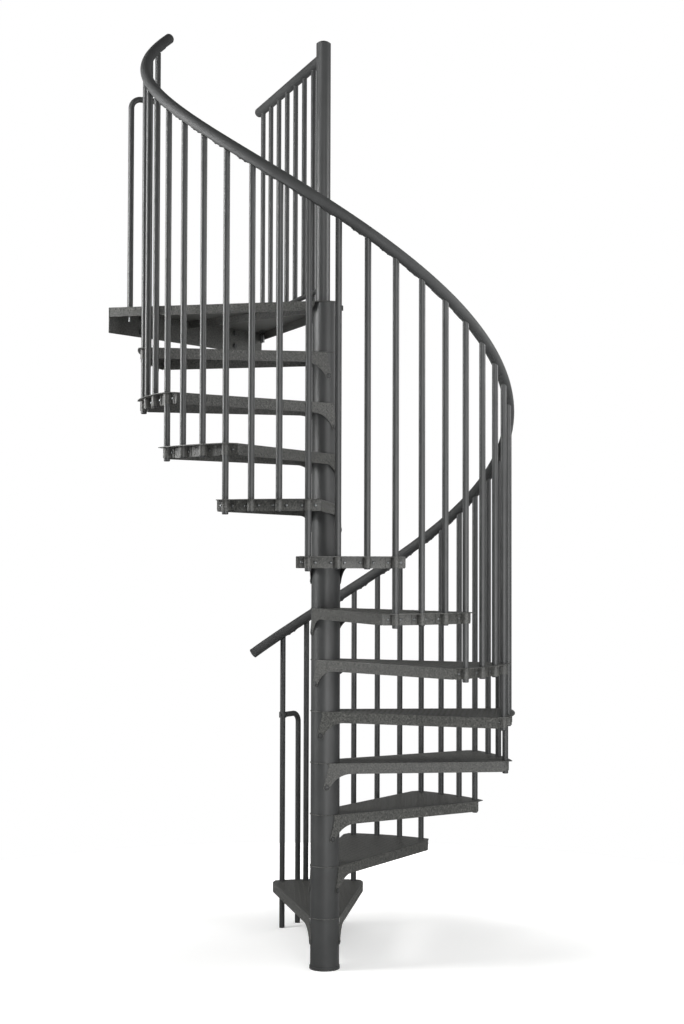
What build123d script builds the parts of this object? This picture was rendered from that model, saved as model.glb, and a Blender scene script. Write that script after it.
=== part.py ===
from build123d import *
import math
import os

# Spiral stair of steel: folded treads clamped between the tubes of a stacked column.
# Lengths are in millimetres, angles in degrees. The flight climbs clockwise seen from above.
# The centre of the column's foot is the origin. The landing's outer edge faces +Y.

# flight
RISE = 215.0
TREAD_COUNT = 12
TREAD_ANGLE = 25.0
FIRST_BALUSTER_ANGLE = 55.0
BALUSTERS_PER_TREAD = 3
FIT = 0.2

# column
COLUMN_RADIUS = 61.0
COLUMN_WALL = 4.0
FOOT_RADIUS = 64.0
FOOT_HEIGHT = 12.0

# folded treads
SHEET = 3.0
BEND_RADIUS = 2.8
TREAD_END_RADIUS = 755.0
TREAD_HALF_ANGLE = 16.1
LIP_WIDTH = 38.0
LIP_HALF_ANGLE = 14.4
HOLE_CLEARANCE = 1.0
FLANGE_DEPTH = 45.0
LOBE_RADIUS = COLUMN_RADIUS + SHEET + FIT
ARM_BOLT_DROP = 101.0
ARM_TIP_RADIUS = 14.0
ARM_REACH = 105.0
ARM_REAR_SETBACK = 12.0
CORNER_RADIUS = 10.0
END_CORNER_RADIUS = 4.0
CORNER_RELIEF = 1.0

# balusters and their straps
BALUSTER_RADIUS = 12.5
BALUSTER_WALL = 2.0
BALUSTER_PLUG = 4.0
BALUSTER_CIRCLE = TREAD_END_RADIUS + BALUSTER_RADIUS + FIT
SHORT_TAIL = 1.0
LONG_TAIL = 9.0
STRAP_THICKNESS = 2.5
STRAP_HEIGHT = 40.0
STRAP_HALF_WIDTH = 36.0
STRAP_DROP = 3.4

# helical handrail
HANDRAIL_RADIUS = 22.5
HANDRAIL_ABOVE_NOSING = 1152.0
HANDRAIL_LEAD_ANGLE = 11.0
HANDRAIL_TAIL_ANGLE = 8.5
HANDRAIL_CAP_DEPTH = 14.0

# landing
LANDING_OVERHANG = 52.3
LANDING_HALF_ANGLE = 30.86
LANDING_SIDE_DEPTH = 40.0
LANDING_EDGE_DEPTH = 110.0
LANDING_FLANGE_SETBACK = 36.0
LANDING_RIB_DEPTH = 36.0
WALL_BOLT_RADIUS = 6.5
WALL_BOLT_SPACING = 600.0
WALL_BOLT_ROW = 60.0

# newel post and the straight balustrade along the landing's back edge
NEWEL_RADIUS = 31.0
NEWEL_WALL = 3.0
NEWEL_OFFSET = 22.0
NEWEL_ABOVE_RAIL = 58.0
NEWEL_CAP_HEIGHT = 12.0
GUARD_ANGLE = 59.8
GUARD_END_SETBACK = 12.0
GUARD_RAIL_HEIGHT = 1054.0
GUARD_RAIL_RADIUS = 22.5
GUARD_BAR_RADIUS = 11.0
GUARD_BAR_WALL = 2.0
GUARD_FOOT_RAIL_HEIGHT = 64.0
GUARD_BAR_COUNT = 7
GUARD_FIRST_DISTANCE = 128.0
GUARD_LAST_DISTANCE = 63.0

# brace tubes at both ends of the flight
LOWER_BRACE_REACH = 126.0
UPPER_BRACE_REACH = 118.0
LOWER_BRACE_HEIGHT = 985.0
UPPER_BRACE_HEIGHT = 912.0
BRACE_BEND = 42.0
LOWER_BRACE_ANGLE = 6.0
UPPER_BRACE_ANGLE = 152.0
RING_RADIUS = 17.0
RING_HEIGHT = 26.0

BALUSTER_STEP = TREAD_ANGLE / BALUSTERS_PER_TREAD
BALUSTER_LAST = TREAD_COUNT * BALUSTERS_PER_TREAD
LANDING_TOP = RISE * (TREAD_COUNT + 1)
SLOPE = math.degrees(math.atan2(RISE, BALUSTER_CIRCLE * math.radians(TREAD_ANGLE)))
LANDING_REACH = BALUSTER_CIRCLE + LANDING_OVERHANG
LANDING_HALF_WIDTH = LANDING_REACH * math.tan(math.radians(LANDING_HALF_ANGLE))
NEWEL_HEIGHT = GUARD_RAIL_HEIGHT + NEWEL_ABOVE_RAIL
GUARD_RUN = (LANDING_REACH - NEWEL_OFFSET) / math.sin(math.radians(GUARD_ANGLE))
GUARD_LENGTH = GUARD_RUN - GUARD_END_SETBACK
GUARD_LAST = GUARD_LENGTH - GUARD_LAST_DISTANCE
GUARD_SPACING = (GUARD_LAST - GUARD_FIRST_DISTANCE) / (GUARD_BAR_COUNT - 1)


def polar(radius, angle, height=0):
    turn = math.radians(angle)
    return Vector(radius * math.cos(turn), radius * math.sin(turn), height)


def tube(radius, wall, length):
    ring = Circle(radius) - Circle(radius - wall)
    return extrude(ring, amount=length)


def drop(face, depth):
    return extrude(face, amount=depth, dir=(0, 0, -1))


def sector(radius, half_angle):
    # wedge about the X axis
    return make_face(Polyline((0, 0), polar(radius, -half_angle), polar(radius, half_angle), close=True))


def side_plane(lean):
    # upright plane of a side flange: x runs outward, y runs down, z faces away from the sheet
    return Plane(
        origin=polar(LOBE_RADIUS, lean + 90),
        x_dir=polar(1, lean),
        z_dir=polar(1, lean + 90),
    )


def mirrored(part):
    return mirror(part, about=Plane.XZ)


# column: a foot disc and one tube for each rise
def column_foot():
    return extrude(Circle(FOOT_RADIUS), amount=FOOT_HEIGHT)


def column_tubes():
    tubes = []
    for level in range(TREAD_COUNT + 1):
        bottom = RISE * level if level else FOOT_HEIGHT
        top = RISE * (level + 1) - SHEET
        tubes.append(Pos(0, 0, bottom) * tube(COLUMN_RADIUS, COLUMN_WALL, top - bottom))
    return tubes


# tread: top plate with a lip around the balusters, two side flanges with curved arms that
# straddle the column, curved end flange
def tread_outline():
    lean = TREAD_HALF_ANGLE - math.degrees(math.asin(LOBE_RADIUS / TREAD_END_RADIUS))
    corner = polar(TREAD_END_RADIUS, TREAD_HALF_ANGLE)
    other_corner = polar(TREAD_END_RADIUS, -TREAD_HALF_ANGLE)
    lip = TREAD_END_RADIUS + LIP_WIDTH
    tip = polar(lip, LIP_HALF_ANGLE)
    other_tip = polar(lip, -LIP_HALF_ANGLE)
    touch = polar(LOBE_RADIUS, lean + 90)
    other_touch = polar(LOBE_RADIUS, -lean - 90)
    edges = [
        Line(other_corner, other_tip),
        ThreePointArc(other_tip, (lip, 0), tip),
        Line(tip, corner),
        Line(corner, touch),
        ThreePointArc(touch, (-LOBE_RADIUS, 0), other_touch),
        Line(other_touch, other_corner),
    ]
    return make_face(edges), lean


def arm_profile(length):
    # the arm's curve leaves the flange's edge smoothly and runs down to the tip
    across = ARM_REACH - ARM_TIP_RADIUS
    down = ARM_BOLT_DROP - FLANGE_DEPTH
    curve = (across**2 + down**2) / (2 * down)
    half = math.atan2(down, across)
    diagonal = math.sqrt(0.5)
    corner = CORNER_RADIUS * (1 - diagonal)
    edges = [
        Line((ARM_REAR_SETBACK, 0), (-ARM_TIP_RADIUS, ARM_BOLT_DROP)),
        ThreePointArc(
            (-ARM_TIP_RADIUS, ARM_BOLT_DROP),
            (0, ARM_BOLT_DROP + ARM_TIP_RADIUS),
            (ARM_TIP_RADIUS, ARM_BOLT_DROP),
        ),
        ThreePointArc(
            (ARM_TIP_RADIUS, ARM_BOLT_DROP),
            (ARM_REACH - curve * math.sin(half), FLANGE_DEPTH + curve * (1 - math.cos(half))),
            (ARM_REACH, FLANGE_DEPTH),
        ),
        Line((ARM_REACH, FLANGE_DEPTH), (length - CORNER_RADIUS, FLANGE_DEPTH)),
        ThreePointArc(
            (length - CORNER_RADIUS, FLANGE_DEPTH),
            (length - corner, FLANGE_DEPTH - corner),
            (length, FLANGE_DEPTH - CORNER_RADIUS),
        ),
        Line((length, FLANGE_DEPTH - CORNER_RADIUS), (length, 0)),
        Line((length, 0), (ARM_REAR_SETBACK, 0)),
    ]
    return make_face(edges)


def tread():
    outline, lean = tread_outline()
    plate = drop(outline, SHEET)
    length = math.sqrt(TREAD_END_RADIUS**2 - LOBE_RADIUS**2)
    plane = side_plane(lean)
    side = extrude(plane * arm_profile(length), amount=SHEET, dir=-plane.z_dir)
    # the end flange stands under the root of the lip, welded into the corners
    ring = Circle(TREAD_END_RADIUS) - Circle(TREAD_END_RADIUS - SHEET)
    relief = math.degrees(CORNER_RELIEF / TREAD_END_RADIUS)
    end = drop(ring & sector(TREAD_END_RADIUS * 2, TREAD_HALF_ANGLE - relief), FLANGE_DEPTH)
    end = fillet(end.edges().group_by(Axis.Z)[0].filter_by(GeomType.LINE), END_CORNER_RADIUS)
    body = plate + side + mirrored(side)
    bends = body.edges().group_by(Axis.Z)[-1].filter_by(GeomType.LINE).sort_by(SortBy.LENGTH)[-2:]
    body = fillet(bends, BEND_RADIUS) + end
    for index in range(BALUSTERS_PER_TREAD + 1):
        angle = BALUSTER_STEP * (index - BALUSTERS_PER_TREAD / 2)
        hole = Pos(polar(BALUSTER_CIRCLE, angle)) * Circle(BALUSTER_RADIUS + HOLE_CLEARANCE)
        body -= drop(hole, SHEET)
    return body


def tread_turn(number):
    return FIRST_BALUSTER_ANGLE - TREAD_ANGLE * (number - 0.5)


# balusters: upright tubes outside the treads, cut on the slope under the handrail
def baluster_angle(index):
    return FIRST_BALUSTER_ANGLE - BALUSTER_STEP * index


def handrail_height(index):
    return HANDRAIL_ABOVE_NOSING + RISE * (1 + index / BALUSTERS_PER_TREAD)


def baluster_bottom(index):
    if index == 0:
        return 0
    number = math.ceil(index / BALUSTERS_PER_TREAD)
    tail = SHORT_TAIL if index % BALUSTERS_PER_TREAD else LONG_TAIL
    return RISE * number - FLANGE_DEPTH - tail


def baluster(index):
    angle = baluster_angle(index)
    bottom = baluster_bottom(index)
    centre = handrail_height(index)
    length = centre - bottom
    body = extrude(Circle(BALUSTER_RADIUS), amount=length)
    bore = extrude(Circle(BALUSTER_RADIUS - BALUSTER_WALL), amount=length)
    body -= Pos(0, 0, BALUSTER_PLUG) * bore
    body = Pos(polar(BALUSTER_CIRCLE, angle, bottom)) * body
    rise = math.radians(SLOPE)
    climb = polar(math.cos(rise), angle - 90, math.sin(rise))
    normal = polar(1, angle).cross(climb)
    normal = normal if normal.Z > 0 else -normal
    seat = polar(BALUSTER_CIRCLE, angle, centre) - normal * (HANDRAIL_RADIUS + FIT)
    plane = Plane(origin=seat, x_dir=polar(1, angle), z_dir=normal)
    block = Rectangle(HANDRAIL_RADIUS * 4, HANDRAIL_RADIUS * 4)
    return body - extrude(plane * block, amount=HANDRAIL_RADIUS * 3)


# straps: bent bands that hold the balusters against the tread's end flange
def strap():
    inner = BALUSTER_RADIUS + FIT
    outer = inner + STRAP_THICKNESS
    face = TREAD_END_RADIUS + FIT
    spread = math.degrees(STRAP_HALF_WIDTH / face)
    wings = Circle(face + STRAP_THICKNESS) - Circle(face)
    wings &= sector(face * 2, spread)
    centre = Pos(BALUSTER_CIRCLE, 0)
    seat = Pos((face + BALUSTER_CIRCLE) / 2, 0)
    depth = BALUSTER_CIRCLE - face
    band = centre * Circle(outer) + seat * Rectangle(depth, outer * 2)
    hollow = centre * Circle(inner) + seat * Rectangle(depth + STRAP_THICKNESS, inner * 2)
    profile = wings + band - hollow - Circle(face)
    return extrude(profile, amount=STRAP_HEIGHT)


def straps():
    pieces = []
    blank = strap()
    lift = STRAP_DROP + STRAP_HEIGHT
    for number in range(1, TREAD_COUNT + 1):
        first = (number - 1) * BALUSTERS_PER_TREAD
        for index in range(first, first + BALUSTERS_PER_TREAD + 1):
            turn = Rot(0, 0, baluster_angle(index))
            pieces.append(Pos(0, 0, RISE * number - lift) * turn * blank)
    return pieces


# handrail: a round bar on a helix, square at the foot and domed at the head
def handrail():
    sweep_angle = HANDRAIL_LEAD_ANGLE + TREAD_ANGLE * TREAD_COUNT + HANDRAIL_TAIL_ANGLE
    pitch = RISE * 360 / TREAD_ANGLE
    height = pitch * sweep_angle / 360
    path = Helix(pitch, height, BALUSTER_CIRCLE, lefthand=True)
    section = Plane(origin=path @ 0, z_dir=path % 0) * Circle(HANDRAIL_RADIUS)
    rail = sweep(section, path=path, is_frenet=True)
    start = HANDRAIL_ABOVE_NOSING + RISE * (1 - HANDRAIL_LEAD_ANGLE / TREAD_ANGLE)
    return Pos(0, 0, start) * Rot(0, 0, FIRST_BALUSTER_ANGLE + HANDRAIL_LEAD_ANGLE) * rail


def dome(radius, depth):
    ball = (radius**2 + depth**2) / (2 * depth)
    cap = Pos(0, 0, depth - ball) * Sphere(ball)
    return cap & extrude(Circle(radius * 2), amount=depth * 2)


def handrail_caps():
    rise = math.radians(SLOPE)
    angle = baluster_angle(BALUSTER_LAST) - HANDRAIL_TAIL_ANGLE
    share = HANDRAIL_TAIL_ANGLE / TREAD_ANGLE
    height = handrail_height(BALUSTER_LAST) + RISE * share
    climb = polar(math.cos(rise), angle - 90, math.sin(rise))
    head = Plane(origin=polar(BALUSTER_CIRCLE, angle, height), z_dir=climb)
    guard = Plane(
        origin=newel_place(GUARD_RAIL_HEIGHT) + polar(GUARD_LENGTH, GUARD_ANGLE),
        z_dir=polar(1, GUARD_ANGLE),
    )
    return [
        head * dome(HANDRAIL_RADIUS, HANDRAIL_CAP_DEPTH),
        guard * dome(GUARD_RAIL_RADIUS, HANDRAIL_CAP_DEPTH),
    ]


# landing: a folded trapezoid deck, its deep outer flange bolts to the upper floor
def landing():
    corner = Vector(LANDING_REACH, LANDING_HALF_WIDTH)
    span = corner.length
    bearing = math.degrees(math.atan2(corner.Y, corner.X))
    lean = bearing - math.degrees(math.asin(LOBE_RADIUS / span))
    touch = polar(LOBE_RADIUS, lean + 90)
    other_touch = polar(LOBE_RADIUS, -lean - 90)
    other_corner = Vector(LANDING_REACH, -LANDING_HALF_WIDTH)
    outline = make_face(
        [
            Line(other_corner, corner),
            Line(corner, touch),
            ThreePointArc(touch, (-LOBE_RADIUS, 0), other_touch),
            Line(other_touch, other_corner),
        ]
    )
    plate = drop(outline, SHEET)
    length = math.sqrt(span**2 - LOBE_RADIUS**2)
    plane = side_plane(lean)
    turned = LANDING_FLANGE_SETBACK + LANDING_SIDE_DEPTH
    bulge = LANDING_SIDE_DEPTH * math.sqrt(0.5)
    profile = make_face(
        [
            Line((LANDING_FLANGE_SETBACK, 0), (length, 0)),
            Line((length, 0), (length, LANDING_SIDE_DEPTH)),
            Line((length, LANDING_SIDE_DEPTH), (turned, LANDING_SIDE_DEPTH)),
            ThreePointArc(
                (turned, LANDING_SIDE_DEPTH),
                (turned - bulge, bulge),
                (LANDING_FLANGE_SETBACK, 0),
            ),
        ]
    )
    side = extrude(plane * profile, amount=SHEET, dir=-plane.z_dir)
    side &= drop(outline, LANDING_SIDE_DEPTH)
    edge_face = Pos(LANDING_REACH - SHEET / 2, 0) * Rectangle(SHEET, LANDING_HALF_WIDTH * 2)
    edge = drop(edge_face, LANDING_EDGE_DEPTH)
    rib_length = LANDING_REACH - LOBE_RADIUS
    rib_face = Pos(LOBE_RADIUS + rib_length / 2, 0) * Rectangle(rib_length, SHEET)
    rib = drop(rib_face, LANDING_RIB_DEPTH)
    body = plate + side + mirrored(side) + edge + rib
    # holes of the wall bolts
    face = Plane(
        origin=(LANDING_REACH, 0, -LANDING_EDGE_DEPTH / 2), x_dir=(0, 1, 0), z_dir=(1, 0, 0)
    )
    for place in GridLocations(WALL_BOLT_SPACING, WALL_BOLT_ROW, 2, 2):
        body -= extrude(face * place * Circle(WALL_BOLT_RADIUS), amount=SHEET * 2, both=True)
    body = Pos(0, 0, LANDING_TOP) * Rot(0, 0, 90) * body
    # hole of the last baluster
    hole = extrude(Circle(BALUSTER_RADIUS + FIT), amount=RISE, both=True)
    return body - Pos(polar(BALUSTER_CIRCLE, baluster_angle(BALUSTER_LAST), LANDING_TOP)) * hole


# newel post over the column, a little off its axis toward the landing
def newel_place(height):
    return Vector(0, NEWEL_OFFSET, LANDING_TOP + height)


def newel_post():
    return Pos(newel_place(0)) * tube(NEWEL_RADIUS, NEWEL_WALL, NEWEL_HEIGHT)


def newel_cap():
    return Pos(newel_place(NEWEL_HEIGHT)) * dome(NEWEL_RADIUS, NEWEL_CAP_HEIGHT)


# straight balustrade on the landing
def guard_bar(radius, wall, height):
    start = Plane(origin=newel_place(height), z_dir=polar(1, GUARD_ANGLE))
    bar = start * tube(radius, wall, GUARD_LENGTH)
    post = extrude(Circle(NEWEL_RADIUS + FIT), amount=NEWEL_HEIGHT)
    return bar - Pos(newel_place(0)) * post


def guard_seat(radius, height):
    start = Plane(origin=newel_place(height), z_dir=polar(1, GUARD_ANGLE))
    return start * extrude(Circle(radius + FIT), amount=GUARD_LENGTH)


def guard_place(number):
    distance = GUARD_FIRST_DISTANCE + GUARD_SPACING * number
    return Pos(newel_place(0) + polar(distance, GUARD_ANGLE))


def guard_balusters():
    pieces = []
    top_seat = guard_seat(GUARD_RAIL_RADIUS, GUARD_RAIL_HEIGHT)
    foot_seat = guard_seat(GUARD_BAR_RADIUS, GUARD_FOOT_RAIL_HEIGHT)
    for number in range(GUARD_BAR_COUNT):
        grounded = number in (0, GUARD_BAR_COUNT - 1)
        bottom = 0 if grounded else GUARD_FOOT_RAIL_HEIGHT
        body = tube(GUARD_BAR_RADIUS, GUARD_BAR_WALL, GUARD_RAIL_HEIGHT - bottom)
        body = guard_place(number) * Pos(0, 0, bottom) * body - top_seat
        pieces.append(body if grounded else body - foot_seat)
    return pieces


def guard_foot_rail():
    rail = guard_bar(GUARD_BAR_RADIUS, GUARD_BAR_WALL, GUARD_FOOT_RAIL_HEIGHT)
    cutter = extrude(Circle(GUARD_BAR_RADIUS + FIT), amount=RISE)
    last = GUARD_BAR_COUNT - 1
    rail -= guard_place(0) * cutter
    rail -= guard_place(last) * cutter
    beyond = polar(1, GUARD_ANGLE)
    return [piece for piece in rail.solids() if piece.center().dot(beyond) < GUARD_LAST]


# brace tubes: upright tubes whose hooked heads hold the end balusters
def brace(index, bottom, height, reach, direction):
    base = polar(BALUSTER_CIRCLE, baluster_angle(index), bottom)
    away = polar(1, direction)
    foot = base + away * reach
    bend_low = foot + Vector(0, 0, height - BRACE_BEND)
    bend_high = foot - away * BRACE_BEND + Vector(0, 0, height)
    tip = base + away * (RING_RADIUS + FIT) + Vector(0, 0, height)
    path = Wire(
        [
            Edge.make_line(foot, bend_low),
            Edge.make_tangent_arc(bend_low, Vector(0, 0, 1), bend_high),
            Edge.make_line(bend_high, tip),
        ]
    )
    ring = Circle(BALUSTER_RADIUS) - Circle(BALUSTER_RADIUS - BALUSTER_WALL)
    body = sweep(Pos(foot) * ring, path=path)
    collar = tube(RING_RADIUS, RING_RADIUS - BALUSTER_RADIUS - FIT, RING_HEIGHT)
    return body, Pos(base + Vector(0, 0, height - RING_HEIGHT / 2)) * collar


def save(name, pieces):
    shape = pieces[0] if len(pieces) == 1 else Compound(children=pieces)
    shape.label = name
    export_step(shape, f"parts/{name}.step")


os.makedirs("parts", exist_ok=True)
save("column_foot", [column_foot()])
save("column_tubes", column_tubes())
blank = tread()
for number in range(1, TREAD_COUNT + 1):
    place = Pos(0, 0, RISE * number) * Rot(0, 0, tread_turn(number))
    save(f"tread_{number:02d}", [place * blank])
    first = (number - 1) * BALUSTERS_PER_TREAD + 1
    group = [baluster(index) for index in range(first, first + BALUSTERS_PER_TREAD)]
    save(f"balusters_{number:02d}", group)
save("first_baluster", [baluster(0)])
save("baluster_straps", straps())
save("handrail", [handrail()])
save("rail_caps", handrail_caps())
save("landing_deck", [landing()])
save("newel_post", [newel_post()])
save("newel_cap", [newel_cap()])
save("landing_rail", [guard_bar(GUARD_RAIL_RADIUS, NEWEL_WALL, GUARD_RAIL_HEIGHT)])
save("landing_foot_rail", guard_foot_rail())
save("landing_balusters", guard_balusters())
lower_tube, lower_ring = brace(
    0, 0, LOWER_BRACE_HEIGHT, LOWER_BRACE_REACH, LOWER_BRACE_ANGLE
)
upper_tube, upper_ring = brace(
    BALUSTER_LAST, LANDING_TOP, UPPER_BRACE_HEIGHT, UPPER_BRACE_REACH, UPPER_BRACE_ANGLE
)
save("lower_brace", [lower_tube])
save("upper_brace", [upper_tube])
save("brace_rings", [lower_ring, upper_ring])
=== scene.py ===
import math

import bmesh
import bpy
from mathutils import Matrix, Vector


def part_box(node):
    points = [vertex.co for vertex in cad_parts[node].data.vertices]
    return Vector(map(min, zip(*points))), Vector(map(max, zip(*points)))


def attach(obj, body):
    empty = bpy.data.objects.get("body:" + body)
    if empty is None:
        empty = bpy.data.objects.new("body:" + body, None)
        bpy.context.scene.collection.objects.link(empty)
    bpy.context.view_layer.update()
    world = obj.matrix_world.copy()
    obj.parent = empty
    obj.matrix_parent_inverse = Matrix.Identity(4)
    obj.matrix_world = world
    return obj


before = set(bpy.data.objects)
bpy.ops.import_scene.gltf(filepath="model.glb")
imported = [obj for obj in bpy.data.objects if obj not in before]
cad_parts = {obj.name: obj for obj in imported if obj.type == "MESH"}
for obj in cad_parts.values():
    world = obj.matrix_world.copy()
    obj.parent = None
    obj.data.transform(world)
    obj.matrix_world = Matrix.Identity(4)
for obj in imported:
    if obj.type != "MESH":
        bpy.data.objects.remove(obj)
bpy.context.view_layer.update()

# Spiral stair of painted steel: finishes, raised pattern of the sheet, bolts and plugs.
# Lengths are in metres, angles in degrees.
MM = 0.001

# the stair, from its frame
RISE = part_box("tread_01")[1].z
TREAD_COUNT = sum(name.startswith("tread_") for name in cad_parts)
COLUMN_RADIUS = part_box("column_tubes")[1].x
NEWEL_FOOT = (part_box("newel_post")[0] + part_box("newel_post")[1]) / 2
LANDING_TOP = NEWEL_FOOT.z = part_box("newel_post")[0].z
LANDING_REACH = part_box("landing_deck")[1].y
LANDING_HALF_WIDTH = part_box("landing_deck")[1].x

# the stair, from its drawing
TREAD_ANGLE = 25.0
FIRST_BALUSTER_ANGLE = 55.0
BALUSTERS_PER_TREAD = 3
FIT = 0.2 * MM
SHEET = 3 * MM
TREAD_END_RADIUS = 755 * MM
TREAD_HALF_ANGLE = 16.1
FLANGE_DEPTH = 45 * MM
ARM_BOLT_DROP = 101 * MM
ARM_TIP_RADIUS = 14 * MM
ARM_REACH = 105 * MM
BALUSTER_RADIUS = 12.5 * MM
SHORT_TAIL = 1 * MM
LONG_TAIL = 9 * MM
STRAP_MIDDLE_DROP = 23.4 * MM
STRAP_THICKNESS = 2.5 * MM
STRAP_HALF_WIDTH = 36 * MM
HANDRAIL_RADIUS = 22.5 * MM
HANDRAIL_ABOVE_NOSING = 1152 * MM
LANDING_EDGE_DEPTH = 110 * MM
WALL_BOLT_RADIUS = 6.5 * MM
WALL_BOLT_SPACING = 600 * MM
WALL_BOLT_ROW = 60 * MM
NEWEL_BOLT_ANGLE = -50.6
NEWEL_BOLT_DROP = 22 * MM
LANDING_FLANGE_START = 76 * MM
GUARD_ANGLE = 59.8
GUARD_FIRST_DISTANCE = 128 * MM
GUARD_LAST_DISTANCE = 848 * MM
STUD_SPREAD = 14 * MM
UPPER_BRACE_REACH = 118 * MM
RING_RADIUS = 17 * MM
LOWER_RING_HEIGHT = 985 * MM
UPPER_RING_HEIGHT = 912 * MM
LOWER_BRACE_ANGLE = 6.0
UPPER_BRACE_ANGLE = 152.0

LOBE_RADIUS = COLUMN_RADIUS + SHEET + FIT
BALUSTER_CIRCLE = TREAD_END_RADIUS + BALUSTER_RADIUS + FIT
BALUSTER_STEP = TREAD_ANGLE / BALUSTERS_PER_TREAD
LAST_BALUSTER = TREAD_COUNT * BALUSTERS_PER_TREAD
SLOPE = math.atan2(RISE, BALUSTER_CIRCLE * math.radians(TREAD_ANGLE))
TREAD_LEAN = TREAD_HALF_ANGLE - math.degrees(math.asin(LOBE_RADIUS / TREAD_END_RADIUS))

# raised pattern of the sheet: lozenges set crosswise by turns, walked lower on the plates
LOZENGE_LENGTH = 23 * MM
LOZENGE_WIDTH = 7.5 * MM
LOZENGE_HEIGHT = 1.2 * MM
LOZENGE_TOP_SHARE = 0.6
LOZENGE_SIDES = 8
WORN_SHARE = 0.75
LOZENGE_PITCH = 23 * MM
LOZENGE_TILT = 45
PATTERN_MARGIN = 13 * MM
PATTERN_COLUMN_GAP = 18 * MM
FLANGE_ROWS = (11 * MM, 34 * MM)
ARM_ROWS = (57 * MM, 80 * MM)

# an edge sharper than this is drawn sharp
CREASE_ANGLE = 35

# camera of the photograph: a portrait picture, so the sensor's width is the picture's height
CAMERA_PLACE = Vector((-5.2125, -4.3739, 1.7055))
CAMERA_HEADING = -50.567
CAMERA_PITCH = 1.713
CAMERA_ROLL = 0.172
CAMERA_LENS = 56.7

# the floor glows from dim at the stair to bright near its rim
FLOOR_RADIUS = 3.0
FLOOR_SIDES = 96
FLOOR_DIM_RADIUS = 0.8
FLOOR_BRIGHT_RADIUS = 2.4
FLOOR_DIM_GLOW = 0.3
FLOOR_BRIGHT_GLOW = 1.0

# the room's own light: dim in front, brighter and a little raised behind the stair
ROOM_DIM = 0.05
ROOM_BRIGHT = 0.3
ROOM_BRIGHT_RISE = 0.1

# soft boxes: heading from the camera's, height, distance from the column, (width, height), watts
SOFTBOXES = {
    "upper_left": (-82, 3.2, 2.6, (1.0, 1.9), 102),
    "top_left": (-45, 5.0, 2.4, (1.2, 1.0), 22),
    "middle_left": (-88, 1.9, 3.0, (1.0, 1.5), 8),
    "low_left": (-80, 0.9, 4.0, (1.2, 1.2), 17),
    "upper_right": (84, 3.3, 2.6, (1.2, 1.8), 51),
    "middle_right": (56, 1.3, 4.0, (1.2, 1.2), 22),
    "upper_front": (13, 3.2, 3.4, (1.5, 1.2), 37),
    "middle_front": (30, 1.4, 3.4, (1.5, 1.2), 27),
    "low_front": (10, 1.1, 5.0, (1.6, 1.6), 73),
    "back": (140, 1.2, 4.5, (2.0, 1.8), 60),
}
# mirrored in the treads, this box would glare
NO_GLARE = "back"


def linear(hex_colour):
    # linear colour from an sRGB hex value
    channels = [int(hex_colour[i : i + 2], 16) / 255 for i in (1, 3, 5)]
    return [c / 12.92 if c <= 0.04045 else ((c + 0.055) / 1.055) ** 2.4 for c in channels] + [1.0]


def polar(radius, angle, height=0.0):
    turn = math.radians(angle)
    return Vector((radius * math.cos(turn), radius * math.sin(turn), height))


def turned(angle):
    return Matrix.Rotation(math.radians(angle), 4, "Z")


def on_face(point, along, outward):
    # place on a face: x runs along it, z stands out of it
    turn = Matrix((along, outward.cross(along), outward)).transposed()
    return Matrix.Translation(point) @ turn.to_4x4()


def standing_out(point, outward):
    # place of a fastener: z stands out of the face
    return Matrix.Translation(point) @ outward.to_track_quat("Z", "Y").to_matrix().to_4x4()


# materials
def add(tree, kind, inputs=None, **settings):
    made = tree.nodes.new(kind)
    for name, value in settings.items():
        setattr(made, name, value)
    for socket, value in (inputs or {}).items():
        if isinstance(value, bpy.types.NodeSocket):
            tree.links.new(value, made.inputs[socket])
        else:
            made.inputs[socket].default_value = value
    return made


def new_material(name):
    material = bpy.data.materials.new(name)
    material.use_nodes = True
    tree = material.node_tree
    tree.nodes.clear()
    place = add(tree, "ShaderNodeTexCoord").outputs["Object"]
    return material, tree, place


def show(tree, shader):
    add(tree, "ShaderNodeOutputMaterial", {"Surface": shader.outputs["BSDF"]})


def powder_coated_steel():
    # Powder coat on steel tube: an even anthracite skin with a soft sheen and the orange peel of
    # the baked powder. The peel is about 2 mm on the real tube and is drawn at 5 mm to show.
    peel_size = 5 * MM
    cloud_size = 90 * MM
    material, tree, place = new_material("powder_coated_steel")
    peel = add(
        tree,
        "ShaderNodeTexNoise",
        {"Vector": place, "Scale": 1 / peel_size, "Detail": 2.0},
    )
    cloud = add(
        tree,
        "ShaderNodeTexNoise",
        {"Vector": place, "Scale": 1 / cloud_size, "Detail": 3.0},
    )
    tone = add(tree, "ShaderNodeValToRGB", {"Fac": cloud.outputs["Fac"]})
    tone.color_ramp.elements[0].position = 0.35
    tone.color_ramp.elements[0].color = linear("#383939")
    tone.color_ramp.elements[1].position = 0.65
    tone.color_ramp.elements[1].color = linear("#3d3e3e")
    sheen = add(
        tree,
        "ShaderNodeMapRange",
        {
            "Value": peel.outputs["Fac"],
            "From Min": 0.3,
            "From Max": 0.7,
            "To Min": 0.38,
            "To Max": 0.5,
        },
    )
    bump = add(
        tree,
        "ShaderNodeBump",
        {"Height": peel.outputs["Fac"], "Strength": 0.08, "Distance": 0.1 * MM},
    )
    shader = add(
        tree,
        "ShaderNodeBsdfPrincipled",
        {
            "Base Color": tone.outputs["Color"],
            "Roughness": sheen.outputs["Result"],
            "Normal": bump.outputs["Normal"],
            "IOR": 1.5,
        },
    )
    show(tree, shader)
    return material


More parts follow.
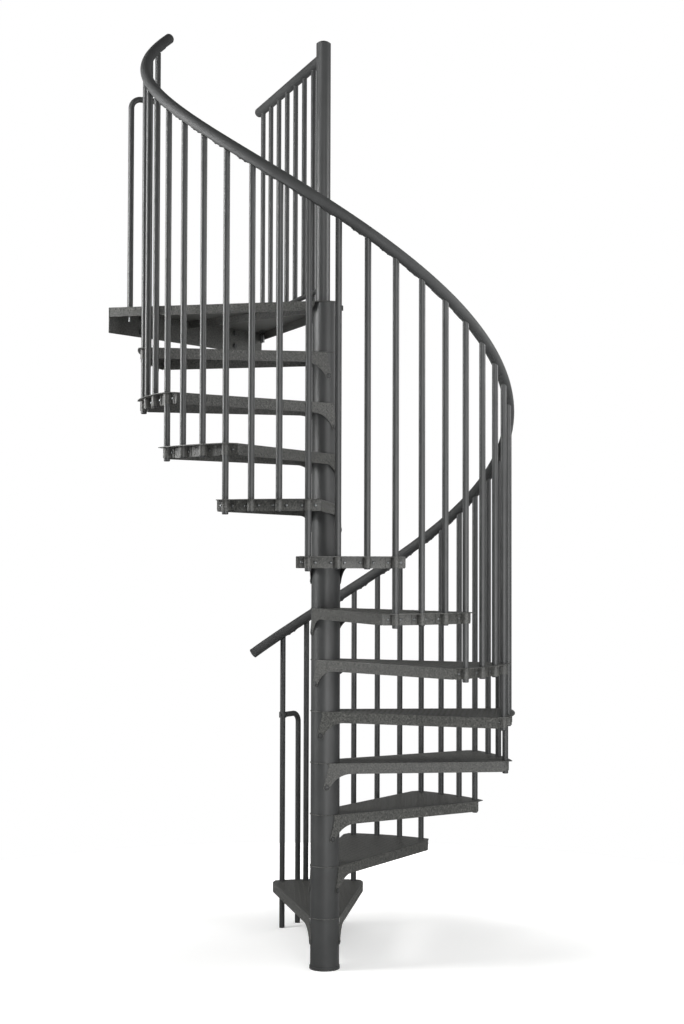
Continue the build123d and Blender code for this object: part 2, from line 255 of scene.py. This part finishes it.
def coated_sheet(name, dark, light):
    # Raised-pattern sheet, hot-dip galvanised and then powder coated: the spangle of the zinc
    # shows through the thin coat as mottled lighter and darker flecks about 6 mm across, and a
    # grain of about 4 mm breaks up the shine.
    fleck_size = 6 * MM
    grain_size = 4 * MM
    material, tree, place = new_material(name)
    fleck = add(
        tree,
        "ShaderNodeTexNoise",
        {"Vector": place, "Scale": 1 / fleck_size, "Detail": 3.0},
    )
    grain = add(
        tree,
        "ShaderNodeTexNoise",
        {"Vector": place, "Scale": 1 / grain_size, "Detail": 2.0},
    )
    tone = add(tree, "ShaderNodeValToRGB", {"Fac": fleck.outputs["Fac"]})
    tone.color_ramp.elements[0].position = 0.3
    tone.color_ramp.elements[0].color = linear(dark)
    tone.color_ramp.elements[1].position = 0.7
    tone.color_ramp.elements[1].color = linear(light)
    sheen = add(
        tree,
        "ShaderNodeMapRange",
        {
            "Value": fleck.outputs["Fac"],
            "From Min": 0.3,
            "From Max": 0.7,
            "To Min": 0.42,
            "To Max": 0.6,
        },
    )
    bump = add(
        tree,
        "ShaderNodeBump",
        {"Height": grain.outputs["Fac"], "Strength": 0.35, "Distance": 0.4 * MM},
    )
    shader = add(
        tree,
        "ShaderNodeBsdfPrincipled",
        {
            "Base Color": tone.outputs["Color"],
            "Roughness": sheen.outputs["Result"],
            "Normal": bump.outputs["Normal"],
            "IOR": 1.5,
        },
    )
    show(tree, shader)
    return material


def extruded_pvc():
    # Extruded PVC handrail: dark grey, satin, faintly cloudy, with a leathery grain for the
    # hand. The grain is under 1 mm on the real rail and is drawn at 4 mm to show.
    grain_size = 4 * MM
    cloud_size = 60 * MM
    material, tree, place = new_material("extruded_pvc")
    grain = add(
        tree,
        "ShaderNodeTexNoise",
        {"Vector": place, "Scale": 1 / grain_size, "Detail": 3.0},
    )
    cloud = add(
        tree,
        "ShaderNodeTexNoise",
        {"Vector": place, "Scale": 1 / cloud_size, "Detail": 2.0},
    )
    tone = add(tree, "ShaderNodeValToRGB", {"Fac": cloud.outputs["Fac"]})
    tone.color_ramp.elements[0].position = 0.35
    tone.color_ramp.elements[0].color = linear("#333434")
    tone.color_ramp.elements[1].position = 0.65
    tone.color_ramp.elements[1].color = linear("#383939")
    sheen = add(
        tree,
        "ShaderNodeMapRange",
        {
            "Value": grain.outputs["Fac"],
            "From Min": 0.3,
            "From Max": 0.7,
            "To Min": 0.62,
            "To Max": 0.78,
        },
    )
    bump = add(
        tree,
        "ShaderNodeBump",
        {"Height": grain.outputs["Fac"], "Strength": 0.15, "Distance": 0.2 * MM},
    )
    shader = add(
        tree,
        "ShaderNodeBsdfPrincipled",
        {
            "Base Color": tone.outputs["Color"],
            "Roughness": sheen.outputs["Result"],
            "Normal": bump.outputs["Normal"],
            "IOR": 1.53,
        },
    )
    show(tree, shader)
    return material


def moulded_nylon():
    # Moulded nylon of the plugs and end caps: nearly black, matt, with the spark-eroded grain of
    # the mould, drawn at 2 mm to show.
    grain_size = 2 * MM
    material, tree, place = new_material("moulded_nylon")
    grain = add(tree, "ShaderNodeTexVoronoi", {"Vector": place, "Scale": 1 / grain_size})
    tone = add(tree, "ShaderNodeValToRGB", {"Fac": grain.outputs["Distance"]})
    tone.color_ramp.elements[0].color = linear("#1c1d1e")
    tone.color_ramp.elements[1].color = linear("#242526")
    bump = add(
        tree,
        "ShaderNodeBump",
        {"Height": grain.outputs["Distance"], "Strength": 0.2, "Distance": 0.15 * MM},
    )
    shader = add(
        tree,
        "ShaderNodeBsdfPrincipled",
        {
            "Base Color": tone.outputs["Color"],
            "Roughness": 0.55,
            "Normal": bump.outputs["Normal"],
            "IOR": 1.53,
        },
    )
    show(tree, shader)
    return material


def zinc_plated_steel():
    # Zinc-plated bolts and studs: dull grey metal, a little cloudy where the plating is thicker.
    cloud_size = 6 * MM
    material, tree, place = new_material("zinc_plated_steel")
    cloud = add(
        tree,
        "ShaderNodeTexNoise",
        {"Vector": place, "Scale": 1 / cloud_size, "Detail": 3.0},
    )
    tone = add(tree, "ShaderNodeValToRGB", {"Fac": cloud.outputs["Fac"]})
    tone.color_ramp.elements[0].color = linear("#6d6f70")
    tone.color_ramp.elements[1].color = linear("#8d8f90")
    sheen = add(
        tree,
        "ShaderNodeMapRange",
        {
            "Value": cloud.outputs["Fac"],
            "From Min": 0.3,
            "From Max": 0.7,
            "To Min": 0.35,
            "To Max": 0.55,
        },
    )
    shader = add(
        tree,
        "ShaderNodeBsdfPrincipled",
        {
            "Base Color": tone.outputs["Color"],
            "Metallic": 1.0,
            "Roughness": sheen.outputs["Result"],
        },
    )
    show(tree, shader)
    return material


def studio_paper():
    # Pale paper floor, matt and even. It glows more and more away from the stair, so that its
    # rim runs into the white backdrop.
    fibre_size = 3 * MM
    material, tree, place = new_material("studio_paper")
    fibre = add(tree, "ShaderNodeTexNoise", {"Vector": place, "Scale": 1 / fibre_size})
    tone = add(tree, "ShaderNodeValToRGB", {"Fac": fibre.outputs["Fac"]})
    tone.color_ramp.elements[0].color = linear("#f4f4f3")
    tone.color_ramp.elements[1].color = linear("#fbfbfa")
    distance = add(tree, "ShaderNodeVectorMath", {0: place}, operation="LENGTH")
    glow = add(
        tree,
        "ShaderNodeMapRange",
        {
            "Value": distance.outputs["Value"],
            "From Min": FLOOR_DIM_RADIUS,
            "From Max": FLOOR_BRIGHT_RADIUS,
            "To Min": FLOOR_DIM_GLOW,
            "To Max": FLOOR_BRIGHT_GLOW,
        },
        interpolation_type="SMOOTHSTEP",
    )
    shader = add(
        tree,
        "ShaderNodeBsdfPrincipled",
        {
            "Base Color": tone.outputs["Color"],
            "Roughness": 0.9,
            "Emission Color": linear("#ffffff"),
            "Emission Strength": glow.outputs["Result"],
        },
    )
    show(tree, shader)
    return material


COAT = powder_coated_steel()
SHEET_COAT = coated_sheet("coated_pattern_sheet", "#2a2b2a", "#585855")
# the raised lozenges get a paler coat: a painted highlight on the raised pattern
LOZENGE_HIGHLIGHT_COAT = coated_sheet("pattern_painted_highlight_coat", "#2f302e", "#666662")
PVC = extruded_pvc()
NYLON = moulded_nylon()
ZINC = zinc_plated_steel()

# finish by the start of a node's name; all else is powder coated
FINISHES = {
    "tread": SHEET_COAT,
    "landing_deck": SHEET_COAT,
    "baluster_straps": SHEET_COAT,
    "handrail": PVC,
    "landing_rail": PVC,
    "rail_caps": PVC,
    "newel_cap": NYLON,
}


def dress_frame():
    for name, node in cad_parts.items():
        finish = next((m for start, m in FINISHES.items() if name.startswith(start)), COAT)
        node.data.materials.clear()
        node.data.materials.append(finish)


# meshes
def lathe(shape, outline, sides):
    # closed body of revolution about z from (radius, height) points that start and end on the axis
    points = [shape.verts.new((radius, 0, height)) for radius, height in outline]
    lines = [shape.edges.new(pair) for pair in zip(points, points[1:])]
    bmesh.ops.spin(
        shape,
        geom=points + lines,
        cent=(0, 0, 0),
        axis=(0, 0, 1),
        angle=math.tau,
        steps=sides,
        use_merge=True,
    )
    bmesh.ops.remove_doubles(shape, verts=shape.verts[:], dist=0.001 * MM)


def faced_out(shape):
    bmesh.ops.recalc_face_normals(shape, faces=shape.faces[:])
    return shape


def repeated(shape, places):
    # one copy of the shape at each place, joined; the shape itself is used up
    blank = bpy.data.meshes.new("blank")
    shape.to_mesh(blank)
    shape.free()
    joined = bmesh.new()
    for place in places:
        copy = blank.copy()
        copy.transform(place)
        joined.from_mesh(copy)
        bpy.data.meshes.remove(copy)
    bpy.data.meshes.remove(blank)
    return joined


def piece(name, shape, material):
    mesh = bpy.data.meshes.new(name)
    shape.to_mesh(mesh)
    shape.free()
    mesh.shade_smooth()
    mesh.set_sharp_from_angle(angle=math.radians(CREASE_ANGLE))
    mesh.materials.append(material)
    made = bpy.data.objects.new(name, mesh)
    bpy.context.scene.collection.objects.link(made)
    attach(made, "root")


def tread_place(number):
    angle = FIRST_BALUSTER_ANGLE - TREAD_ANGLE * (number - 0.5)
    return Matrix.Translation((0, 0, RISE * number)) @ turned(angle)


def baluster_angle(index):
    return FIRST_BALUSTER_ANGLE - BALUSTER_STEP * index


def treads():
    return range(1, TREAD_COUNT + 1)


# raised pattern of the sheet
def lozenge():
    # tapers upward from its full length and width; the lower half lies in the sheet
    shape = bmesh.new()
    bmesh.ops.create_cone(
        shape,
        cap_ends=True,
        segments=LOZENGE_SIDES,
        radius1=0.5,
        radius2=0.5 * LOZENGE_TOP_SHARE,
        depth=LOZENGE_HEIGHT * 2,
    )
    bmesh.ops.scale(shape, vec=(LOZENGE_LENGTH, LOZENGE_WIDTH, 1), verts=shape.verts[:])
    return shape


def crosswise(first, second):
    return turned(LOZENGE_TILT if (first + second) % 2 else -LOZENGE_TILT)


def plate_pattern(lean, reach, allowed):
    # lozenges on a plate whose two sides lean out from the column about the x axis
    sides = [polar(1, lean + 90), polar(1, -lean - 90)]
    worn = Matrix.Diagonal((1, 1, WORN_SHARE, 1))
    count = int(reach / LOZENGE_PITCH)
    places = []
    for row in range(-count, count + 1):
        for step in range(count + 1):
            spot = Vector((step * LOZENGE_PITCH, row * LOZENGE_PITCH, 0))
            beyond = max(spot.dot(side) for side in sides) > LOBE_RADIUS - PATTERN_MARGIN
            if beyond or spot.length < COLUMN_RADIUS + PATTERN_COLUMN_GAP:
                continue
            if allowed(spot):
                places.append(Matrix.Translation(spot) @ crosswise(row, step) @ worn)
    return places


def flange_pattern(lean, start, end, rows, allowed):
    # lozenges on the outer faces of both side flanges
    places = []
    for side in (1, -1):
        along = polar(1, side * lean)
        outward = polar(1, side * (lean + 90))
        for row, depth in enumerate(rows):
            for step in range(int((end - start) / LOZENGE_PITCH) + 1):
                run = start + step * LOZENGE_PITCH
                if allowed(run, depth):
                    point = outward * LOBE_RADIUS + along * run - Vector((0, 0, depth))
                    places.append(on_face(point, along, outward) @ crosswise(row, step))
    return places


def on_arm(run, depth):
    # the flange is a straight band with a curved arm at the column
    if depth < FLANGE_DEPTH:
        return True
    across = ARM_REACH - ARM_TIP_RADIUS
    down = ARM_BOLT_DROP - FLANGE_DEPTH
    curve = (across**2 + down**2) / (2 * down)
    hollow = math.hypot(run - ARM_REACH, depth - FLANGE_DEPTH - curve)
    return run < ARM_REACH and hollow > curve + PATTERN_MARGIN / 2


def end_pattern():
    # lozenges on the curved end flange, between the straps
    places = []
    pitch = math.degrees(LOZENGE_PITCH / TREAD_END_RADIUS)
    gap = math.degrees((STRAP_HALF_WIDTH + PATTERN_MARGIN) / TREAD_END_RADIUS)
    middle = BALUSTERS_PER_TREAD / 2
    straps = [BALUSTER_STEP * (index - middle) for index in range(BALUSTERS_PER_TREAD + 1)]
    count = int(TREAD_HALF_ANGLE / pitch)
    for row, depth in enumerate(FLANGE_ROWS):
        for step in range(-count, count + 1):
            angle = step * pitch
            if min(abs(angle - strap) for strap in straps) > gap:
                point = polar(TREAD_END_RADIUS, angle, -depth)
                place = on_face(point, polar(1, angle + 90), polar(1, angle))
                places.append(place @ crosswise(row, step))
    return places


def tread_patterns():
    reach = TREAD_END_RADIUS - PATTERN_MARGIN
    places = plate_pattern(TREAD_LEAN, reach, lambda spot: spot.length < reach)
    start = PATTERN_MARGIN
    places += flange_pattern(TREAD_LEAN, start, reach, FLANGE_ROWS + ARM_ROWS, on_arm)
    places += end_pattern()
    pattern = repeated(lozenge(), places)
    blank = bpy.data.meshes.new("tread_pattern")
    pattern.to_mesh(blank)
    pattern.free()
    for number in treads():
        raised = bmesh.new()
        raised.from_mesh(blank)
        raised.transform(tread_place(number))
        piece(f"tread_{number:02d}_pattern", raised, LOZENGE_HIGHLIGHT_COAT)
    bpy.data.meshes.remove(blank)


def landing_pattern():
    # laid out along the x axis like a tread's and then turned; it keeps clear of the bars' feet
    corner = Vector((LANDING_REACH, LANDING_HALF_WIDTH))
    lean = math.degrees(math.atan2(corner.y, corner.x) - math.asin(LOBE_RADIUS / corner.length))
    feet = [polar(BALUSTER_CIRCLE, baluster_angle(LAST_BALUSTER))]
    feet.append(feet[0] + polar(UPPER_BRACE_REACH, UPPER_BRACE_ANGLE))
    newel = NEWEL_FOOT.xy.to_3d()
    feet.append(newel + polar(GUARD_FIRST_DISTANCE, GUARD_ANGLE))
    feet.append(newel + polar(GUARD_LAST_DISTANCE, GUARD_ANGLE))
    turn = turned(90)

    def clear(spot):
        here = turn @ spot
        near = min((here - foot).length for foot in feet)
        return near > BALUSTER_RADIUS + PATTERN_MARGIN and here.y < LANDING_REACH - PATTERN_MARGIN

    places = plate_pattern(lean, corner.length, clear)
    end = math.sqrt(corner.length_squared - LOBE_RADIUS**2) - PATTERN_MARGIN
    start = LANDING_FLANGE_START
    places += flange_pattern(lean, start, end, FLANGE_ROWS[:1], lambda run, depth: True)
    raised = repeated(lozenge(), places)
    raised.transform(Matrix.Translation((0, 0, LANDING_TOP)) @ turn)
    piece("landing_pattern", raised, LOZENGE_HIGHLIGHT_COAT)


# bolts, nuts and studs
def hexagon(shape, corner_radius, low, high):
    chamfer = 0.1 * corner_radius
    outline = [
        (0, low),
        (corner_radius, low),
        (corner_radius, high - chamfer),
        (corner_radius - chamfer, high),
        (0, high),
    ]
    lathe(shape, outline, sides=6)


def disc(shape, radius, low, high, sides):
    edge = 0.25 * (high - low)
    outline = [(0, low), (radius, low), (radius, high - edge), (radius - edge, high), (0, high)]
    lathe(shape, outline, sides)


def pan_head(shape, radius, low, high):
    rise = high - low
    shoulder = (0.95 * radius, low + 0.5 * rise)
    brow = (0.6 * radius, low + 0.92 * rise)
    lathe(shape, [(0, low), (radius, low), shoulder, brow, (0, high)], sides=10)


def arm_bolts():
    # a bolt with its washer at the lower end of each arm; the washer is dark nylon, a painted
    # shade ring round the bolt head
    washer_radius = 11 * MM
    washer_top = 1 * MM
    head_radius = 7.5 * MM
    head_top = 3 * MM
    washer = bmesh.new()
    disc(washer, washer_radius, 0, washer_top, sides=20)
    head = bmesh.new()
    pan_head(head, head_radius, washer_top, head_top)
    places = []
    for number in treads():
        for side in (1, -1):
            outward = polar(1, side * (TREAD_LEAN + 90))
            point = outward * LOBE_RADIUS - Vector((0, 0, ARM_BOLT_DROP))
            places.append(tread_place(number) @ standing_out(point, outward))
    # dark washers: painted shade round each arm bolt head
    piece("arm_washer_shade_rings", repeated(faced_out(washer), places), NYLON)
    piece("arm_bolts", repeated(faced_out(head), places), COAT)


def strap_bolts():
    # heads on the wings of the straps, washers and nuts inside the end flange
    head_radius = 6 * MM
    head_top = 4 * MM
    washer_radius = 7 * MM
    washer_top = 1.5 * MM
    nut_radius = 5.8 * MM
    nut_top = 6.5 * MM
    head = bmesh.new()
    pan_head(head, head_radius, 0, head_top)
    nut = bmesh.new()
    disc(nut, washer_radius, 0, washer_top, sides=12)
    hexagon(nut, nut_radius, washer_top, nut_top)
    wing_middle = (STRAP_HALF_WIDTH + BALUSTER_RADIUS + STRAP_THICKNESS) / 2
    offset = math.degrees(wing_middle / TREAD_END_RADIUS)
    outer = TREAD_END_RADIUS + FIT + STRAP_THICKNESS
    inner = TREAD_END_RADIUS - SHEET
    heads = []
    nuts = []
    for number in treads():
        first = (number - 1) * BALUSTERS_PER_TREAD
        height = RISE * number - STRAP_MIDDLE_DROP
        for index in range(first, first + BALUSTERS_PER_TREAD + 1):
            for side in (1, -1):
                angle = baluster_angle(index) + side * offset
                heads.append(standing_out(polar(outer, angle, height), polar(1, angle)))
                nuts.append(standing_out(polar(inner, angle, height), -polar(1, angle)))
    piece("strap_bolts", repeated(faced_out(head), heads), ZINC)
    piece("strap_nuts", repeated(faced_out(nut), nuts), ZINC)


def handrail_point(index):
    # centre of the handrail and its frame: x climbs along the rail, z stands square above it
    angle = baluster_angle(index)
    height = HANDRAIL_ABOVE_NOSING + RISE * (1 + index / BALUSTERS_PER_TREAD)
    climb = polar(math.cos(SLOPE), angle - 90, math.sin(SLOPE))
    return on_face(polar(BALUSTER_CIRCLE, angle, height), climb, climb.cross(polar(1, angle)))


def handrail_saddles():
    # bent plates under the handrail, each beside its baluster and held by two screws
    length = 48 * MM
    thickness = 2 * MM
    wrap = 56
    bite = 0.3 * MM
    screw_spread = 13 * MM
    screw_radius = 5 * MM
    screw_top = 2.5 * MM
    seat = HANDRAIL_RADIUS - bite
    middle = BALUSTER_RADIUS + length / 2
    upright = Matrix.Rotation(math.pi / 2, 3, "X")
    to_start = Matrix.Rotation(math.radians(-wrap / 2), 3, "X")
    saddle = bmesh.new()
    bmesh.ops.create_grid(saddle, x_segments=1, y_segments=1, size=0.5)
    bmesh.ops.scale(saddle, vec=(length, thickness, 1), verts=saddle.verts[:])
    bmesh.ops.rotate(saddle, matrix=upright, verts=saddle.verts[:])
    bmesh.ops.translate(saddle, vec=(0, 0, -seat - thickness / 2), verts=saddle.verts[:])
    bmesh.ops.rotate(saddle, matrix=to_start, verts=saddle.verts[:])
    bmesh.ops.spin(
        saddle,
        geom=saddle.verts[:] + saddle.edges[:] + saddle.faces[:],
        cent=(0, 0, 0),
        axis=(1, 0, 0),
        angle=math.radians(wrap),
        steps=6,
    )
    screw = bmesh.new()
    pan_head(screw, screw_radius, 0, screw_top)
    step = middle * math.cos(SLOPE) / (BALUSTER_CIRCLE * math.radians(BALUSTER_STEP))
    places = [handrail_point(index + step) for index in range(LAST_BALUSTER + 1)]
    down = Vector((0, 0, -1))
    spots = [Vector((side * screw_spread, 0, -seat - thickness)) for side in (1, -1)]
    screws = [place @ standing_out(spot, down) for place in places for spot in spots]
    piece("handrail_saddles", repeated(faced_out(saddle), places), COAT)
    piece("handrail_screws", repeated(faced_out(screw), screws), COAT)


def tail_plugs():
    # plugs in the lower ends of the balusters
    rim = (11.8 * MM, -1 * MM)
    shoulder = (10.6 * MM, -2.6 * MM)
    bottom_middle = (0, -3 * MM)
    plug = bmesh.new()
    lathe(plug, [(0, 0), (rim[0], 0), rim, shoulder, bottom_middle], sides=20)
    places = []
    for index in range(1, LAST_BALUSTER + 1):
        number = math.ceil(index / BALUSTERS_PER_TREAD)
        tail = SHORT_TAIL if index % BALUSTERS_PER_TREAD else LONG_TAIL
        bottom = RISE * number - FLANGE_DEPTH - tail
        places.append(Matrix.Translation(polar(BALUSTER_CIRCLE, baluster_angle(index), bottom)))
    piece("tail_plugs", repeated(faced_out(plug), places), NYLON)


def landing_studs():
    # studs that hold the upper brace and the ends of the balustrade, with washers and nuts below
    washer_radius = 13 * MM
    washer_bottom = -3 * MM
    nut_radius = 10.5 * MM
    nut_bottom = -12 * MM
    stud_radius = 6 * MM
    stud_bottom = -58 * MM
    shape = bmesh.new()
    disc(shape, washer_radius, washer_bottom, 0, sides=20)
    hexagon(shape, nut_radius, nut_bottom, washer_bottom)
    disc(shape, stud_radius, stud_bottom, nut_bottom, sides=14)
    under = LANDING_TOP - SHEET
    brace = polar(BALUSTER_CIRCLE, baluster_angle(LAST_BALUSTER), under)
    feet = [brace + polar(UPPER_BRACE_REACH, UPPER_BRACE_ANGLE)]
    newel = NEWEL_FOOT - Vector((0, 0, SHEET))
    feet.append(newel + polar(GUARD_FIRST_DISTANCE, GUARD_ANGLE))
    for side in (1, -1):
        feet.append(newel + polar(GUARD_LAST_DISTANCE + side * STUD_SPREAD, GUARD_ANGLE))
    places = [Matrix.Translation(foot) for foot in feet]
    piece("landing_studs", repeated(faced_out(shape), places), ZINC)


def wall_bolts():
    # bolts through the landing's edge: heads inside, shanks flush with the outer face
    washer_radius = 13 * MM
    washer_top = 2.5 * MM
    head_radius = 11 * MM
    head_top = 10 * MM
    shape = bmesh.new()
    disc(shape, washer_radius, 0, washer_top, sides=20)
    hexagon(shape, head_radius, washer_top, head_top)
    disc(shape, WALL_BOLT_RADIUS - FIT, -SHEET, 0, sides=16)
    inward = Vector((0, -1, 0))
    places = []
    for side in (1, -1):
        for row in (0.5, -0.5):
            height = LANDING_TOP - LANDING_EDGE_DEPTH / 2 + row * WALL_BOLT_ROW
            point = Vector((side * WALL_BOLT_SPACING / 2, LANDING_REACH - SHEET, height))
            places.append(standing_out(point, inward))
    piece("wall_bolts", repeated(faced_out(shape), places), COAT)


def newel_bolt():
    # bolt through the top tube of the column into the newel post
    washer_radius = 14 * MM
    washer_top = 2 * MM
    head_radius = 12 * MM
    head_top = 9 * MM
    shape = bmesh.new()
    disc(shape, washer_radius, -washer_top, washer_top, sides=20)
    hexagon(shape, head_radius, washer_top, head_top)
    outward = polar(1, NEWEL_BOLT_ANGLE)
    point = outward * COLUMN_RADIUS + Vector((0, 0, LANDING_TOP - NEWEL_BOLT_DROP))
    bolt = repeated(faced_out(shape), [standing_out(point, outward)])
    piece("newel_bolt", bolt, COAT)


def ring_screws():
    # screws in the rings of the lower and the upper brace
    head_radius = 4.5 * MM
    head_top = 3.5 * MM
    screw = bmesh.new()
    pan_head(screw, head_radius, 0, head_top)
    places = []
    for index, ground, height, brace_angle in (
        (0, 0, LOWER_RING_HEIGHT, LOWER_BRACE_ANGLE),
        (LAST_BALUSTER, LANDING_TOP, UPPER_RING_HEIGHT, UPPER_BRACE_ANGLE),
    ):
        centre = polar(BALUSTER_CIRCLE, baluster_angle(index), ground + height)
        outward = polar(1, brace_angle + 180)
        places.append(standing_out(centre + outward * RING_RADIUS, outward))
    piece("ring_screws", repeated(faced_out(screw), places), COAT)


# studio
def floor():
    shape = bmesh.new()
    bmesh.ops.create_circle(shape, cap_ends=True, segments=FLOOR_SIDES, radius=FLOOR_RADIUS)
    mesh = bpy.data.meshes.new("studio_floor")
    shape.to_mesh(mesh)
    shape.free()
    mesh.materials.append(studio_paper())
    made = bpy.data.objects.new("studio_floor", mesh)
    bpy.context.scene.collection.objects.link(made)
    made.visible_glossy = False


def softbox(name, heading, height, distance, size, power):
    # upright area light that faces the column, its heading counted from the camera's
    lamp = bpy.data.lights.new(name, "AREA")
    lamp.shape = "RECTANGLE"
    lamp.size, lamp.size_y = size
    lamp.energy = power
    made = bpy.data.objects.new(name, lamp)
    toward = -polar(1, CAMERA_HEADING - 90 + heading)
    place = Matrix.Translation(Vector((0, 0, height)) - toward * distance)
    made.matrix_world = place @ toward.to_track_quat("-Z", "Y").to_matrix().to_4x4()
    made.visible_camera = False
    made.visible_glossy = name != NO_GLARE
    bpy.context.scene.collection.objects.link(made)


def dome():
    # white backdrop for the camera; as a light it is a dim room with a glow behind the stair
    world = bpy.data.worlds.new("studio")
    bpy.context.scene.world = world
    world.use_nodes = True
    tree = world.node_tree
    tree.nodes.clear()
    direction = add(tree, "ShaderNodeTexCoord").outputs["Generated"]
    behind = polar(1, CAMERA_HEADING + 90, ROOM_BRIGHT_RISE).normalized()
    facing = add(tree, "ShaderNodeVectorMath", {0: direction, 1: behind}, operation="DOT_PRODUCT")
    glow = add(
        tree,
        "ShaderNodeMapRange",
        {
            "Value": facing.outputs["Value"],
            "From Min": 0.0,
            "From Max": 1.0,
            "To Min": ROOM_DIM,
            "To Max": ROOM_BRIGHT,
        },
        interpolation_type="SMOOTHERSTEP",
    )
    seen = add(tree, "ShaderNodeLightPath").outputs["Is Camera Ray"]
    strength = add(
        tree,
        "ShaderNodeMath",
        {0: glow.outputs["Result"], 1: seen},
        operation="MAXIMUM",
    )
    light = add(
        tree,
        "ShaderNodeBackground",
        {"Color": linear("#ffffff"), "Strength": strength.outputs["Value"]},
    )
    add(tree, "ShaderNodeOutputWorld", {"Surface": light.outputs["Background"]})


def studio():
    floor()
    dome()
    for name, setting in SOFTBOXES.items():
        softbox(name, *setting)
    bpy.context.scene.view_settings.view_transform = "Standard"


def camera():
    lens = bpy.data.cameras.new("photo_camera")
    lens.lens = CAMERA_LENS
    made = bpy.data.objects.new("photo_camera", lens)
    heading = turned(CAMERA_HEADING)
    pitch = Matrix.Rotation(math.radians(90 + CAMERA_PITCH), 4, "X")
    made.matrix_world = Matrix.Translation(CAMERA_PLACE) @ heading @ pitch @ turned(CAMERA_ROLL)
    bpy.context.scene.collection.objects.link(made)
    bpy.context.scene.camera = made


dress_frame()
tread_patterns()
landing_pattern()
arm_bolts()
strap_bolts()
handrail_saddles()
tail_plugs()
landing_studs()
wall_bolts()
newel_bolt()
ring_screws()
studio()
camera()
